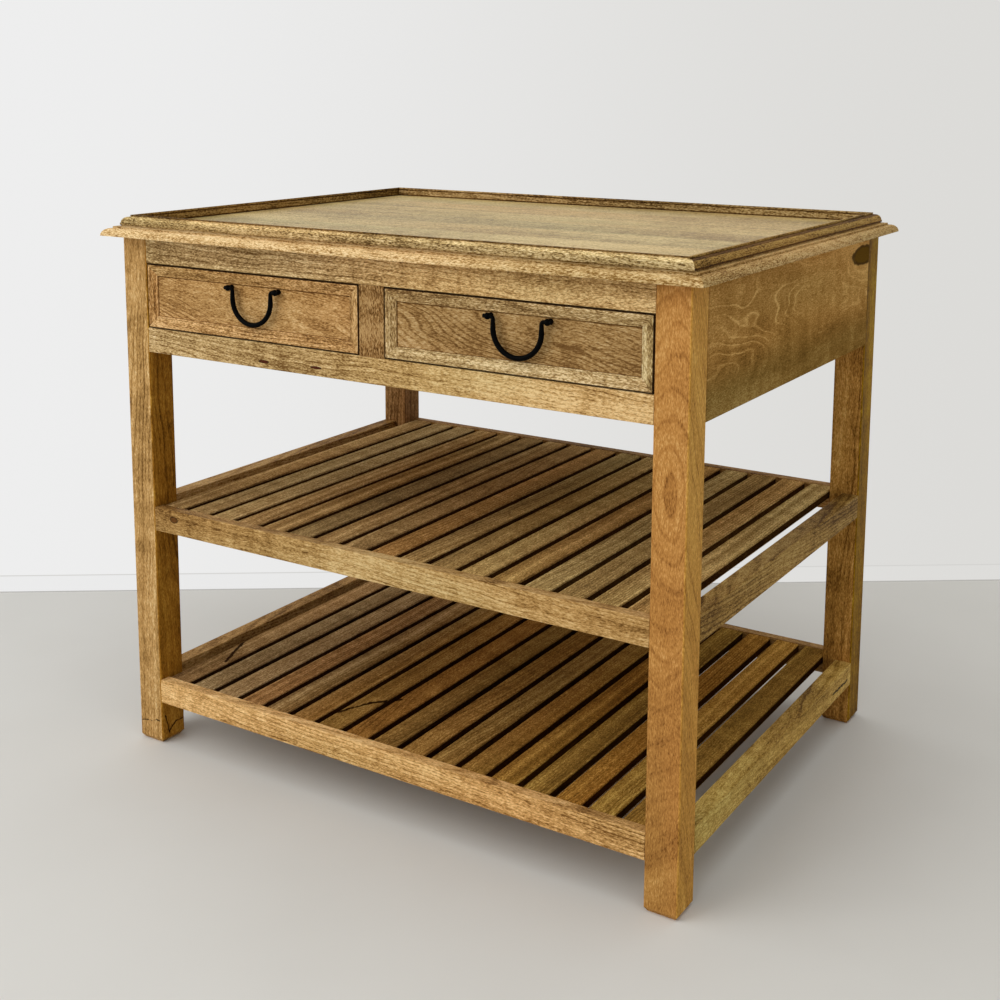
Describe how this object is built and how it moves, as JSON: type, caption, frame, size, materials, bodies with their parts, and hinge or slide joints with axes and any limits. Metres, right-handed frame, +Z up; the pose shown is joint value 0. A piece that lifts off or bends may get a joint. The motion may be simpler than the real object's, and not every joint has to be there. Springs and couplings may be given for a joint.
{
  "type": "kitchen island",
  "caption": "Solid wood kitchen island with two inset drawers under a lipped tray top and two open slatted shelves between square legs.",
  "frame": {"origin": "centre of the four feet on the floor", "axes": "+Z up, the drawers face -Y, +X to the right as seen from the front"},
  "size_m": [1.062, 0.804, 0.9],
  "materials": {
    "leg_wood": "satin wax over honey mango wood",
    "shelf_rail_wood": "satin wax over honey mango wood",
    "slat_wood": "satin wax over darker mango wood",
    "apron_wood": "satin wax over figured mango wood",
    "front_rail_wood": "satin wax over figured mango wood",
    "runner_wood": "bare planed wood",
    "top_wood": "pale, lightly limed and waxed wood",
    "moulding_wood": "satin wax over honey mango wood",
    "drawer_front_wood": "satin wax over swirled mango wood",
    "drawer_box_wood": "bare planed wood",
    "black_iron": "matt black forged iron"
  },
  "bodies": {
    "frame": {"leg_front_left": "leg_wood", "leg_front_right": "leg_wood", "leg_back_left": "leg_wood", "leg_back_right": "leg_wood", "low_rail_front": "shelf_rail_wood", "low_rail_back": "shelf_rail_wood", "low_rail_left": "shelf_rail_wood", "low_rail_right": "shelf_rail_wood", "low_slats": "slat_wood", "mid_rail_front": "shelf_rail_wood", "mid_rail_back": "shelf_rail_wood", "mid_rail_left": "shelf_rail_wood", "mid_rail_right": "shelf_rail_wood", "mid_slats": "slat_wood", "apron_left": "apron_wood", "apron_right": "apron_wood", "apron_back": "apron_wood", "front_rail_low": "front_rail_wood", "front_rail_top": "front_rail_wood", "front_stile": "front_rail_wood", "runner_left": "runner_wood", "runner_middle": "runner_wood", "runner_right": "runner_wood", "top_board_1": "top_wood", "top_board_2": "top_wood", "top_board_3": "top_wood", "top_board_4": "top_wood", "top_board_5": "top_wood", "top_board_6": "top_wood", "top_board_7": "top_wood", "moulding_front": "moulding_wood", "moulding_back": "moulding_wood", "moulding_left": "moulding_wood", "moulding_right": "moulding_wood", "lip_front": "moulding_wood", "lip_back": "moulding_wood", "lip_left": "moulding_wood", "lip_right": "moulding_wood"},
    "drawer_left": {"drawer_left_front": "drawer_front_wood", "drawer_left_bead": "drawer_front_wood", "drawer_left_side_a": "drawer_box_wood", "drawer_left_side_b": "drawer_box_wood", "drawer_left_back": "drawer_box_wood", "drawer_left_bottom": "drawer_box_wood", "handle_left_posts": "black_iron"},
    "bail_left": {"handle_left_bail": "black_iron"},
    "drawer_right": {"drawer_right_front": "drawer_front_wood", "drawer_right_bead": "drawer_front_wood", "drawer_right_side_a": "drawer_box_wood", "drawer_right_side_b": "drawer_box_wood", "drawer_right_back": "drawer_box_wood", "drawer_right_bottom": "drawer_box_wood", "handle_right_posts": "black_iron"},
    "bail_right": {"handle_right_bail": "black_iron"}
  },
  "joints": [
    {"name": "drawer_left_slide", "type": "slide", "parent": "frame", "child": "drawer_left", "axis": [0, -1, 0], "range_m": [0, 0.45]},
    {"name": "drawer_right_slide", "type": "slide", "parent": "frame", "child": "drawer_right", "axis": [0, -1, 0], "range_m": [0, 0.45]},
    {"name": "bail_left_swing", "type": "hinge", "parent": "drawer_left", "child": "bail_left", "pos_m": [-0.2265, -0.381, 0.7995], "axis": [-1, 0, 0], "range_deg": [-5, 170]},
    {"name": "bail_right_swing", "type": "hinge", "parent": "drawer_right", "child": "bail_right", "pos_m": [0.2505, -0.381, 0.7995], "axis": [-1, 0, 0], "range_deg": [-5, 170]}
  ]
}
